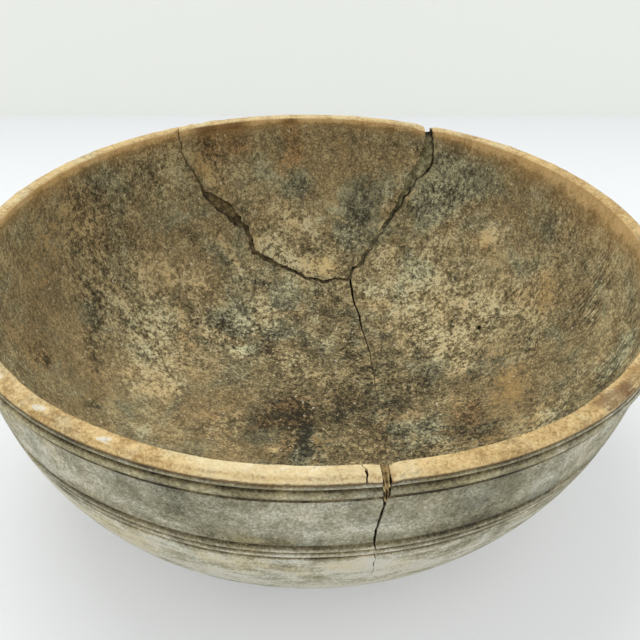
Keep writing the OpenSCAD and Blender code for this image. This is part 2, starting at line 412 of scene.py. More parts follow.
def blade(name, path, across, top, low, width, seed, skin=(-5, -0.6, 0, 0.5, 1.2, 2.4)):
    """A closed blade that follows a path and reaches through the wood from one face
    to the other, frayed along its length and flared where it leaves a face. At each
    point of the path it has a direction across, and the points top and low on the
    two faces."""
    s = running(np.linalg.norm(np.diff(path, axis=0), axis=1))
    jag = 0.45 * MM * fray(s, 3.5 * MM, seed) + 0.25 * MM * fray(s, 1.3 * MM, seed + 1)
    loose = smooth(0, 1 * MM, width)
    depths = [(top, low, t * MM) for t in skin] + [(low, top, t * MM) for t in skin[::-1]]
    sides = []
    for sign in (-1, 1):
        chip = 0.8 * np.clip(fray(s, 4 * MM, seed + 5 + sign) + 0.1, 0.02, 1)
        chip = chip * np.minimum(width, 1 * MM)
        for start, end, t in depths[::-sign]:
            way = (end - start) / np.linalg.norm(end - start, axis=1)[:, None]
            off = width / 2 + chip * np.exp(-max(t, 0) / (0.6 * MM))
            off = off + 0.1 * MM * fray(s + t * 3, 1.1 * MM, seed + 9) * loose
            off = jag * loose + sign * np.maximum(off, 0.04 * MM)
            sides.append(start + way * t + across * off[:, None])
    loops = np.stack(sides, 1)
    points, faces = skinned(loops, loops[[0, -1]].mean(1))
    return outward(piece_of(name, dried(points), faces))


# The split at the front: sideways wander in millimetres, height in hundredths of
# the bowl's, and width in millimetres
SPLIT = np.array([
    (0, 106, 4.0), (0, 100, 3.7), (0.3, 95, 3.0), (0.5, 90, 2.0), (0.8, 88, 1.2),
    (0.9, 86, 0.9), (0.5, 82, 1.2), (-0.2, 78.5, 0.8), (-0.6, 74.5, 1.1), (-0.5, 70, 0.9),
    (0.1, 66, 0.7), (1.5, 62.5, 0.1), (1.3, 60, 0.5), (2.1, 57, 0.1), (1.6, 54, 0.5),
    (2.6, 51, 0.1), (2.9, 48, 0.4), (2.4, 43, 0.1)])


def facing(turn):
    """The directions out of and across the wall at an angle from the front."""
    return np.array([np.sin(turn), -np.cos(turn), 0]), np.array([np.cos(turn), np.sin(turn), 0])


def split_at(z):
    """The split's sideways place and width at each height."""
    return [np.interp(-z, -BOWL_H * SPLIT[:, 1] / 100, x * MM) for x in SPLIT.T[[0, 2]]]


SPLIT_OUT, SPLIT_ACROSS = facing(SPLIT_TURN)


def split_cutter():
    """The blade of the split at the front: it runs down the wall at one angle."""
    z = BOWL_H * np.linspace(SPLIT[0, 1] / 100, SPLIT[-1, 1] / 100, 240)
    off, width = split_at(z)
    depth = BOWL_H - z
    side = off[:, None] * SPLIT_ACROSS + np.column_stack([z * 0, z * 0, z])
    outer = side + SPLIT_OUT * turned(depth)[:, None]
    inner = side + SPLIT_OUT * inner_r(np.maximum(depth, 0))[:, None]
    return blade("split tool", outer, np.tile(SPLIT_ACROSS, (len(z), 1)), outer, inner, width, 40)


# The crack across the floor, from the seam's lowest corner: angle round the bowl,
# hundredths of the radius at that corner, and width in millimetres
FLOOR_CRACK = np.array([
    (82.5, 108, 1.6), (81.6, 99, 1.5), (80.5, 95, 1.4), (78.8, 88.5, 1.2),
    (75.5, 82, 1.1), (72.8, 74.5, 0.9), (68.7, 67.5, 0.7), (63.4, 60.5, 0.55),
    (59.2, 54.5, 0.45), (50.7, 46.5, 0.35), (40.9, 40, 0.25), (25.4, 36, 0.2)])
TIP_UP = 0.283
TIP_R = inner_r(BOWL_H * (1 - TIP_UP))


def crack_plan(pace):
    """The crack seen from above, as points a pace apart and its width there."""
    turn, share, width = FLOOR_CRACK.T
    x, y = [TIP_R * share / 100 * f(np.radians(turn)) for f in (np.cos, np.sin)]
    step = running(np.hypot(np.diff(x), np.diff(y)))
    s = np.linspace(0, step[-1], int(step[-1] / pace) + 1)
    return [np.interp(s, step, a) for a in (x, y, width * MM)]


def crack_cutter():
    """The blade of the floor's crack: it goes straight down from the hollow to the
    outside, whose height is outer_r solved for the depth."""
    x, y, width = crack_plan(0.5 * MM)
    r = np.hypot(x, y)
    under = BOWL_H - CURVE_H * (1 - (r / WALL_R) ** OUT_ROUND) ** (1 / OUT_DOWN)
    top = np.column_stack([x, y, BOWL_H - inner_depth(r)])
    low = np.column_stack([x, y, np.maximum(under, 0)])
    dx, dy = np.gradient(x), np.gradient(y)
    across = np.column_stack([-dy, dx, dx * 0]) / np.hypot(dx, dy)[:, None]
    return blade("crack tool", top, across, top, low, width, 60)


HAIRLINE_TURN = np.radians(8)
HAIRLINE_DEPTH = 1.8 * MM


def hairline_cutter():
    """A crack that only opens the rim: it follows the rim's section from the inside
    edge to the collar's first bead, and goes 1.8 mm deep."""
    a = np.linspace(-0.25, 1, 60) * np.pi / 2
    r = MOUTH_R + RIM_BREAK + (RIM_W - RIM_BREAK) * np.sin(a)
    z = BOWL_H - RIM_FALL * (1 - np.cos(a))
    r, z = np.append(r, RIM_R), np.append(z, BOWL_H - 3.6 * MM)
    share = np.linspace(0, 1, len(r))
    wander = np.interp(share, [0, 0.28, 0.36, 0.55, 0.7, 1], [-1.7, -0.9, 0.5, 0.6, 0, 0.1]) * MM
    width = np.interp(share, [0, 0.3, 0.45, 0.6, 0.9, 1], [0.3, 0.45, 1.2, 0.6, 0.5, 0.1]) * MM
    out, across = facing(HAIRLINE_TURN)
    top = out * r[:, None] + across * wander[:, None] + np.column_stack([r * 0, r * 0, z])
    core = top * 0 + out * (MOUTH_R + RIM_W / 2) + [0, 0, BOWL_H - 6 * MM]
    core += across * wander[:, None]
    way = (core - top) / np.linalg.norm(core - top, axis=1)[:, None]
    return blade("hairline tool", top, np.tile(across, (len(r), 1)), top, top + way * HAIRLINE_DEPTH,
                 width, 80, (-1.5, -0.3, 0, 0.4, 0.8))


HOLE_TURN, HOLE_LEAN = np.radians(33.4), np.radians(42)
HOLE_UP = 0.285
# How far down the hole each ring lies, and its radius
HOLE_RINGS = [(-3, 2.6), (-0.4, 2.1), (0.3, 1.6), (1, 1.45), (6.5, 1.4), (7, 0.5)]


def hole_cutter():
    """The beetle's flight hole: a round tube, a little wider at the surface."""
    turn, lean = HOLE_TURN, HOLE_LEAN
    z = HOLE_UP * BOWL_H
    r = inner_r(BOWL_H - z)
    mouth = np.array([r * np.cos(turn), r * np.sin(turn), z])
    way = np.array([np.cos(turn) * np.cos(lean), np.sin(turn) * np.cos(lean), -np.sin(lean)])
    level = np.array([-np.sin(turn), np.cos(turn), 0])
    a = np.linspace(0, 2 * np.pi, 24, endpoint=False)
    round_ = np.cos(a)[:, None] * level + np.sin(a)[:, None] * np.cross(way, level)
    loops = np.array([mouth + way * t * MM + round_ * wide * MM for t, wide in HOLE_RINGS])
    points, faces = skinned(loops, loops[[0, -1]].mean(1))
    return outward(piece_of("hole tool", dried(points), faces))


bowl_body = outward(piece_of("turned_bowl", *worn_bowl()))
whole = bowl_body.data.copy()
carve(bowl_body, outward(break_cutter("back tool", -0.5, 23)))
carve(bowl_body, split_cutter())
carve(bowl_body, crack_cutter())
carve(bowl_body, hairline_cutter())
carve(bowl_body, hole_cutter())


def spots(x, y, places):
    """How strongly each point is stained: every place is a soft oval (x, y, half
    length, half width, turn in degrees, strength), and the stains add up to 1. The same
    ovals lay the painted shade on the floor of the hollow."""
    clear = np.ones(len(x))
    for cx, cy, length, width, turn, strength in places:
        t = np.radians(turn)
        u = ((x - cx) * np.cos(t) + (y - cy) * np.sin(t)) / length
        v = ((y - cy) * np.cos(t) - (x - cx) * np.sin(t)) / width
        clear *= 1 - strength * np.exp(-(u * u + v * v) ** 1.3)
    return 1 - clear


def near_line(p, line):
    """Distance from each point to the nearest point of a finely spaced line."""
    best = np.full(len(p), 1.0)
    for start in range(0, len(line), 40):
        gap = np.linalg.norm(p[:, None, :] - line[None, start:start + 40, :], axis=2)
        best = np.minimum(best, gap.min(1))
    return best


# Where the hollow is crusted pale, dark, red-brown, golden or bluish: places in
# millimetres on the plan of the bowl, with +Y at the back. In CALM places the crust is
# finer and quieter, and in the places of painted shade on the floor of the hollow the
# whole tone is darker.
PALE = [
    (-104, 46, 15, 32, 12, 0.85), (-100, 20, 16, 20, 0, 0.7), (-98, 68, 13, 14, 0, 0.5),
    (-45, 85, 13, 9, 30, 0.8), (-53, 58, 10, 7, 0, 0.95), (-40, 94, 8, 8, 0, 0.7),
    (-20, 57, 12, 6, 0, 0.6), (0, 76, 11, 9, 0, 0.55), (-10, 43, 13, 7, 20, 0.6),
    (-30, 150, 12, 6, 0, 0.6), (-14, 147, 9, 5, 0, 0.7), (-28, 130, 17, 8, -12, 0.95),
    (-14, 126, 20, 8, -5, 0.8),
    (-44, 134, 9, 6, -20, 0.85), (-3, 129, 9, 5, 0, 1), (-62, 122, 12, 6, -30, 0.6),
    (62, 90, 22, 18, 0, 0.75), (80, 60, 15, 14, 0, 0.8), (72, 74, 12, 12, 0, 0.6),
    (92, 46, 9, 8, 0, 0.7), (80, 104, 16, 12, -20, 0.75), (52, 112, 16, 10, 0, 0.75),
    (46, 128, 18, 9, -30, 0.4), (70, 124, 12, 8, 0, 0.5), (26, 116, 9, 6, 0, 0.7),
    (70, -10, 15, 15, 0, 0.5), (62, -26, 10, 8, 0, 0.2), (101, 78, 14, 18, 0, 0.75),
    (118, 72, 18, 18, 0, 0.45),
    (-22, -26, 5, 4, 0, 0.9), (-11, -24, 4, 6, 0, 0.8), (150, -14, 4, 12, 20, 0.6),
    (-52, -8, 10, 18, 0, 0.8), (-82, -8, 22, 12, 0, 0.35), (-102, -30, 18, 10, 0, 0.45),
    (-66, -28, 30, 10, 0, 0.4),
    (108, 113, 11, 4, -25, 1), (158, -33, 6, 10, 0, 0.6), (127, -30, 14, 14, 0, 0.9),
    (-75, 74, 13, 10, 0, 0.6), (-24, 148, 18, 9, 0, 0.3), (-80, 143, 9, 4, 25, 0.6),
    (-85, 92, 14, 8, 10, 0.4), (-100, 96, 14, 10, 30, 0.35), (-118, 84, 8, 10, 0, 0.4),
    (41, 155, 10, 5, 0, 0.4), (136, 60, 8, 20, 0, 0.4), (78, 71, 14, 13, 0, 0.6),
    (-84, 102, 20, 10, 30, 0.35), (-100, 50, 10, 10, 0, 0.3), (2, 114, 14, 8, 0, 0.5)]
DARK = [
    (-134, 27, 7, 20, 8, 1), (-141, 46, 9, 10, 0, 0.9), (-131, 12, 4, 12, 0, 0.8),
    (-148, 82, 10, 18, -30, 0.5), (-135, 66, 12, 10, 0, 0.6), (-64, 76, 9, 12, 0, 0.8),
    (-56, 88, 9, 8, 0, 0.6), (-32, 78, 10, 8, 0, 0.7), (-62, 62, 8, 5, 0, 0.6),
    (-34, 62, 7, 6, 0, 0.6), (-6, 0, 13, 32, 0, 0.7), (-2, -26, 12, 10, 0, 0.9),
    (-26, -2, 16, 12, 0, 0.6), (40, 46, 11, 15, 0, 0.65), (22, 72, 10, 14, 0, 0.55),
    (60, 30, 11, 9, 0, 0.5), (97, -8, 12, 18, 0, 0.6), (48, -6, 11, 30, 0, 0.5),
    (-151, -22, 3.5, 8, 0, 1), (-122, -25, 3.5, 5, 0, 0.9), (72, 146, 16, 7, -28, 0.6),
    (88, 138, 14, 6, -35, 0.5), (148, 84, 8, 26, 25, 0.4), (20, 20, 14, 22, 0, 0.4),
    (22, 154, 13, 7, 0, 0.65), (14, 144, 11, 7, 0, 0.65), (-22, 160, 12, 4, 0, 0.6),
    (-14, 106, 18, 8, 0, 0.15), (-117, 126, 14, 5, 45, 0.5), (-78, 122, 22, 8, 25, 0.3),
    (20, 96, 8, 10, 0, 0.4), (-20, 92, 9, 6, 0, 0.4), (152, -40, 4, 10, 0, 0.5),
    (130, 40, 8, 16, 0, 0.35), (-86, 147, 12, 2, 20, 0.7), (-48, 109, 16, 8, 0, 0.5),
    (-126, 50, 9, 12, 0, 0.5), (26, 50, 12, 12, 0, 0.45), (75, -30, 26, 9, 0, 0.45),
    (50, 10, 11, 11, 0, 0.35), (150, 30, 8, 14, 0, 0.4), (25, -30, 14, 9, 0, 0.3)]
RED = [
    (-157, -10, 6, 20, 0, 0.35), (-130, -12, 12, 10, 0, 0.3), (-80, 68, 11, 10, 0, 0.35),
    (-84, 54, 10, 9, 0, 0.4), (-15, 14, 16, 14, 0, 0.6), (18, 24, 12, 14, 0, 0.5),
    (-85, 149, 13, 3, 22, 0.9), (-66, 158, 12, 2.5, 16, 0.8), (-28, 167, 9, 3, 0, 0.95),
    (-33, 162, 8, 4, 0, 0.5), (-6, -8, 10, 14, 0, 0.6), (93, 0, 16, 15, 0, 0.6),
    (100, 30, 14, 16, 0, 0.5), (107, 110, 3.5, 2.2, 0, 1), (-60, 2, 20, 10, 0, 0.3),
    (-90, 84, 14, 12, 0, 0.4), (-110, 110, 20, 8, 35, 0.3), (-28, -6, 20, 12, 0, 0.5)]
CALM = [
    (-110, -20, 60, 45, 0, 1), (-150, 15, 25, 40, 0, 0.8), (-70, 5, 40, 30, 0, 0.7),
    (-90, 112, 50, 24, 40, 0.7), (-60, -30, 60, 20, 0, 0.8), (0, 160, 60, 14, 0, 0.8),
    (120, 105, 40, 24, -50, 0.7), (150, 20, 16, 50, 0, 0.6), (110, 0, 26, 26, 0, 0.6)]
# Places of painted shade on the floor of the hollow
SHADED_FLOOR = [
    (28, 36, 62, 62, 0, 1), (-14, -8, 30, 32, 0, 0.8), (-25, 65, 45, 45, 0, 0.3),
    (70, -24, 44, 30, 0, 1), (16, -24, 30, 20, 0, 0.7), (118, 18, 24, 20, 0, 0.4)]
GOLD = [
    (114, 44, 12, 12, 0, 0.5), (118, 12, 9, 22, 0, 0.95), (102, -26, 14, 9, 0, 0.5),
    (139, 60, 5, 12, 0, 0.8), (-2, 128, 10, 5, 0, 1), (-12, 131, 8, 4, 0, 0.6),
    (-86, 143.5, 8, 2.2, 22, 1), (-76, 144, 7, 3, 25, 0.6), (-156, 66, 6, 30, -20, 0.4),
    (-160, 30, 5, 24, 0, 0.5), (-150, -26, 10, 12, 0, 0.4), (-126, -6, 12, 10, 0, 0.35),
    (-100, 84, 12, 12, 0, 0.3), (-46, 133, 13, 4, -25, 0.6), (-62, 124, 9, 4, -25, 0.7),
    (6, 169, 2.5, 1.5, 0, 1), (46, 140, 4, 3, 0, 0.6), (124, -24, 14, 10, 20, 0.6),
    (-62, -24, 12, 6, 0, 0.3), (-22, -26, 5, 4, 0, 0.7), (-11, -24, 4, 6, 0, 0.7),
    (10, -18, 3, 9, -50, 0.7), (104, 115, 6, 2.5, -25, 0.8)]
BLUE = [
    (-60, 80, 14, 14, 0, 0.9), (-44, 66, 14, 8, 0, 0.7), (-30, 78, 12, 10, 0, 0.7),
    (76, 144, 30, 10, -28, 0.9), (20, 152, 20, 10, 0, 0.9), (0, -28, 14, 14, 0, 0.8),
    (46, -2, 12, 26, 0, 0.8), (-148, 88, 10, 20, -30, 0.4), (-20, 105, 30, 12, 0, 0.6),
    (-22, 160, 16, 5, 0, 0.6), (70, -12, 18, 20, 0, 0.7), (30, 92, 14, 22, 0, 0.5),
    (-136, 30, 8, 20, 0, 0.3), (158, -35, 8, 16, 0, 0.8), (62, 100, 20, 22, 0, 0.4)]
# The same on the outside: angle from the front in degrees, depth in millimetres
OUT_PALE = [
    (-25, 0.4, 0.8, 1.8, 30, 1), (-36, 0.4, 0.9, 1.9, 30, 0.95), (-45.5, 0.6, 0.8, 1.6, 0, 0.8),
    (-46, 30, 16, 16, 0, 0.6), (-40, 36, 8, 5, 0, 0.6), (13, 33, 7, 5, 0, 0.55),
    (5, 37, 5, 4, 0, 0.4), (12, 63, 2.6, 6, 0, 0.9), (8, 70, 4, 6, 0, 0.5),
    (36, 34, 9, 8, 0, 0.4), (44, 24, 9, 12, 0, 0.35), (-8, 76, 30, 9, 0, 0.35),
    (26, 72, 12, 8, 0, 0.4), (-70, 30, 16, 22, 0, 0.4), (3, 24, 10, 6, 0, 0.25),
    (-38, 66, 18, 12, 0, 0.45)]
OUT_DARK = [
    (5, 46, 50, 2.2, 0, 0.4), (24, 7, 16, 5, 0, 0.45),
    (22, 1.2, 14, 3.4, 0, 0.9), (0, 1.6, 14, 2.6, 0, 0.4), (-26, 4, 12, 3, 0, 0.35),
    (24, 20, 10, 12, 0, 0.35), (8, 16, 10, 9, 0, 0.3), (8, 42, 24, 4, 0, 0.6),
    (32, 42, 16, 4.5, 0, 0.75), (-24, 43, 18, 4, 0, 0.3), (-4, 40, 5, 5, 0, 0.6),
    (14, 55, 14, 3, 0, 0.4), (-14, 20, 12, 10, 0, 0.2), (25, 68, 1.0, 1.4, 0, 0.8),
    (26.5, 71, 0.7, 1.8, 0, 0.7), (9, 66, 1.2, 2, 0, 0.5), (55, 12, 9, 14, 0, 0.3),
    (0, 8, 80, 4.5, 0, 0.35), (30, 26, 12, 10, 0, 0.2)]
OUT_RED = [
    (44, -1, 3.2, 3, 0, 0.75), (48.5, 0, 2.2, 2.6, 0, 0.9), (53, -1, 3, 3, 0, 0.5),
    (-2, 2.5, 14, 1.3, 0, 0.55), (-24, 2.2, 18, 1, 0, 0.3), (70, -1, 8, 3, 0, 0.4)]
OUT_GOLD = [
    (-5, 7.5, 60, 5, 0, 0.45), (-52, 12, 16, 20, 0, 0.3), (-4, 42, 5, 5, 0, 0.5),
    (-30, 50, 18, 12, 0, 0.3), (90, 0, 45, 3.5, 0, 1), (-110, 0, 40, 3.5, 0, 0.3),
    (-22, 0.6, 7, 2, 0, 0.7), (-35, 1, 5, 1.8, 0, 0.7), (-49, 0.8, 5, 2, 0, 0.7),
    (30, 0.4, 14, 2, 0, 0.8), (-12, 66, 26, 10, 0, 0.35), (60, 30, 14, 26, 0, 0.3),
    (-20, 6.5, 22, 1.2, 0, 0.3)]
# Where the tool has left its chatter in the hollow, and where the rim is ridged
TOOL_MARKS = [(158, 26, 9, 18, -10, 1)]
RIM_MARKS = [(-5, 0, 4.2, 3, 0, 1)]
# How far the rim's gold fades down into the hollow, and with it the painted light
# below the rim: angle from the front, and reach in millimetres
RIM_FADE = np.array([
    (-180, 6), (-170, 6), (-160, 8), (-140, 8.5), (-110, 8.5), (-80, 6), (-60, 3), (-40, 2),
    (50, 2), (70, 7), (90, 17), (112, 20), (125, 16), (138, 12), (150, 10), (157, 8), (180, 6)])


def weather(piece):
    """Stores the wear, the stains and the painted light and shade of each point of the
    skin as colour attributes, three masks in each, worked out from where the point lies
    on the bowl."""
    mesh = piece.data
    co = np.zeros(len(mesh.vertices) * 3)
    mesh.vertices.foreach_get("co", co)
    p = undried(co.reshape(-1, 3))
    turn = np.arctan2(p[:, 0], -p[:, 1])
    p[:, 2] += split_dip(turn, p)
    turn = np.degrees(turn)
    r = np.hypot(p[:, 0], p[:, 1])
    depth = BOWL_H - p[:, 2]
    face_r = turned(depth) - groove_cut(depth)
    slope = np.gradient(inner_depth(np.linspace(0, MOUTH_R, 2000)), MOUTH_R / 1999)
    lean = np.interp(r, np.linspace(0, MOUTH_R, 2000), np.abs(np.clip(slope, -60, 0)))
    above_hollow = (inner_depth(r) - depth) / np.sqrt(1 + lean ** 2)
    from_in = np.abs(np.where(r < MOUTH_R, above_hollow, r - MOUTH_R))
    from_out = np.minimum(face_r - r, BOWL_H - depth)
    low_face = BOWL_H - CURVE_H * (1 - np.clip(r / WALL_R, 0, 1) ** OUT_ROUND) ** (1 / OUT_DOWN)
    from_out = np.minimum(np.abs(from_out), np.abs(p[:, 2] - np.maximum(low_face, 0)))
    over_rim = (r - MOUTH_R - RIM_BREAK) / (RIM_W - RIM_BREAK)
    top_line = RIM_FALL * (1 - np.sqrt(np.clip(1 - over_rim ** 2, 0, 1)))
    from_top = np.where(r > MOUTH_R - 1 * MM, np.abs(depth - top_line), 1)
    buried = np.minimum(np.minimum(from_in, from_out), from_top)
    inside = (from_in < from_out) & (from_in < from_top) & (depth > RIM_BREAK)
    x, y, d = p[:, 0] / MM, p[:, 1] / MM, depth / MM
    loose = 1 - 0.85 * np.clip(r / MOUTH_R, 0, 1) ** 5
    x = x + loose * (9 * ripple(p, 24 * MM, 81) + 9 * ripple(p, 8 * MM, 82))
    y = y + loose * (9 * ripple(p, 24 * MM, 83) + 9 * ripple(p, 8 * MM, 84))
    over = np.where((from_top <= from_out) & ~inside, (r - (MOUTH_R + RIM_W / 2)) / MM, d)
    pale = np.where(inside, spots(x, y, PALE), spots(turn, over, OUT_PALE))
    dark = np.where(inside, spots(x, y, DARK), spots(turn, d, OUT_DARK))
    red = np.where(inside, spots(x, y, RED), spots(turn, over, OUT_RED))
    gold = np.where(inside, spots(x, y, GOLD), spots(turn, d, OUT_GOLD))
    # Crests of the beads between the grooves, which the outside tone makes paler
    crest = np.exp(-((d[:, None] - (4.5, 8.8, 48.3, 52.5)) / (0.55, 1.1, 0.55, 0.55)) ** 2).sum(-1)
    blue = np.where(inside, spots(x, y, BLUE), crest)
    fade = np.interp(turn, *RIM_FADE.T)
    down = np.where(inside, d - 0.6, (d - 2.8) * 2)
    rim = np.where(inside, smooth(fade, fade * 0.1, down), smooth(1.2, -1.2, down))
    # glow: the rim's gold run down the hollow's wall below the rim as painted light, reaching
    # furthest on the right
    glow = np.exp(-(np.maximum(down, 0) / fade) ** 2) * inside
    # Broken faces, 0.35 to 1.1 mm below the skin: the broken wood's dark colour and painted shade
    # deep in the cracks
    broken_wood_and_shade = smooth(0.35 * MM, 1.1 * MM, buried)
    _, flat, _, _, gap, side = seam_path(1 * MM)
    back = (p @ BREAK_AXES.T)[:, :2]
    away = near_line(back, np.vstack([flat + side * (gap * k)[:, None] for k in (-0.5, 0, 0.5)]))
    seam = np.exp(-away / (0.9 * MM)) * (p[:, 1] > 0)
    crust = np.exp(-away / (4 * MM)) * (p[:, 1] > 0) * (depth > 8 * MM)
    cx, cy, _ = crack_plan(1 * MM)
    crack = near_line(p[:, :2], np.column_stack([cx, cy]))
    crust = np.maximum(crust, np.exp(-crack / (2.5 * MM)) * inside)
    crack = np.exp(-crack / (1.0 * MM)) * (inside | (broken_wood_and_shade > 0.5))
    # The grooves, which the outside tone makes darker
    groove = np.where(inside, 0, groove_cut(depth) / (1.1 * MM))
    groove *= 1 - 0.42 * np.exp(-((d - 46) / 2.5) ** 2)
    hatch = spots(x, y, TOOL_MARKS) * inside
    marks = spots(turn, over, RIM_MARKS) * ~inside
    # Painted shade under the rim's roll, along its lower edge
    rim_edge_shade = np.exp(-((d - 2.7) / 0.8) ** 2) * ~inside
    # Painted light bounced up from the table onto the outside below the lines
    table_bounce_light = smooth(45, 60, d) * ~inside
    # Outside, this channel is a painted highlight at the front of the rim
    calm_and_rim_highlight = np.where(inside, spots(x, y, CALM), np.exp(-((turn + 4) / 9) ** 2))
    # Painted shade on the floor of the hollow
    deep = spots(x, y, SHADED_FLOOR) * inside
    masks = {
        "stain": (pale, dark, red), "tint": (gold, blue, calm_and_rim_highlight),
        "zone": (rim, broken_wood_and_shade, 1.0 * ~inside), "damage": (groove, np.maximum(seam, crack), glow),
        "marks": (hatch, marks, crust), "floor": (deep, rim_edge_shade, table_bounce_light)}
    for name, channels in masks.items():
        layer = mesh.attributes.new(name, "FLOAT_COLOR", "POINT")
        rgba = np.column_stack([np.clip(c, 0, 1) for c in channels] + [np.ones(len(p))])
        layer.data.foreach_set("color", rgba.ravel())


def paint(red, green, blue):
    """A colour given as screen values from 0 to 255, made linear for the shader."""
    c = np.array([red, green, blue]) / 255
    c = np.where(c <= 0.04045, c / 12.92, ((c + 0.055) / 1.055) ** 2.4)
    return (*c.tolist(), 1)


class Wire:
    """One output of a material's nodes. Sums written with it add Math nodes."""

    def __init__(self, tree, socket=None):
        self.tree, self.socket = tree, socket

    def node(self, kind, settings=None, sockets=None, out=0):
        """A new node of a kind, with its settings and the values or wires of its
        sockets, given back as the wire of one of its outputs."""
        made = self.tree.nodes.new("ShaderNode" + kind)
        for name, value in (settings or {}).items():
            if name == "stops":
                for at, colour in value[2:]:
                    made.color_ramp.elements.new(at)
                for stop, (at, colour) in zip(made.color_ramp.elements, sorted(value)):
                    stop.position, stop.color = at, colour
            else:
                setattr(made, name, value)
        for name, value in (sockets or {}).items():
            if isinstance(value, Wire):
                self.tree.links.new(value.socket, made.inputs[name])
            else:
                made.inputs[name].default_value = value
        return Wire(self.tree, made.outputs[out])

    def maths(self, operation, *values):
        return self.node("Math", {"operation": operation}, dict(enumerate(values)))

    def __add__(self, other):
        return self.maths("ADD", self, other)

    def __sub__(self, other):
        return self.maths("SUBTRACT", self, other)

    def __rsub__(self, other):
        return self.maths("SUBTRACT", other, self)

    def __mul__(self, other):
        return self.maths("MULTIPLY", self, other)

    __radd__ = __add__
    __rmul__ = __mul__

    def channels(self, name):
        """The three masks held in one colour attribute."""
        whole = self.node("Attribute", {"attribute_name": name}, out="Color")
        return [self.node("SeparateColor", None, {0: whole}, out=k) for k in range(3)]

    def noise(self, size, detail=3, rough=0.55, twist=0.0, spread=(1, 1, 1)):
        """Noise of a size in millimetres at this place, drawn out along an axis
        where its spread is under 1."""
        place = self.node("VectorMath", {"operation": "MULTIPLY"}, {0: self, 1: spread})
        return self.node("TexNoise", None, {
            "Vector": place, "Scale": 1000 / size, "Detail": detail, "Roughness": rough,
            "Distortion": twist})

    def ramp(self, low, high):
        """0 at low, 1 at high, and an eased rise between."""
        return self.node("MapRange", {"interpolation_type": "SMOOTHSTEP"},
                         {"Value": self, "From Min": low, "From Max": high})

    def colours(self, run):
        """The colour at this place in a run of (place, screen colour) stops."""
        stops = [(at, paint(*colour)) for at, colour in run]
        return self.node("ValToRGB", {"stops": stops}, {0: self})

    def over(self, colour, share, how="MIX"):
        """This colour with another laid over it in a share."""
        return self.node("Mix", {"data_type": "RGBA", "blend_type": how},
                         {0: share, 6: self, 7: colour}, out=2)

    def bump(self, height, distance, normal=None):
        """The skin's direction tilted by a height, 1 of which is a distance."""
        sockets = {"Strength": 1.0, "Distance": distance, "Height": height}
        if normal is not None:
            sockets["Normal"] = normal
        return self.node("Bump", None, sockets)


def material(name):
    """A new material, as the wire that its nodes start from, and its shader."""
    made = bpy.data.materials.new(name)
    made.use_nodes = True
    return made, Wire(made.node_tree), made.node_tree.nodes["Principled BSDF"]


def finish_shader(wire, shader, colour, roughness, normal):
    """Links what varies over the surface to the shader."""
    for name, value in (("Base Color", colour), ("Roughness", roughness), ("Normal", normal)):
        wire.tree.links.new(value.socket, shader.inputs[name])
    shader.inputs["Specular IOR Level"].default_value = 0.3


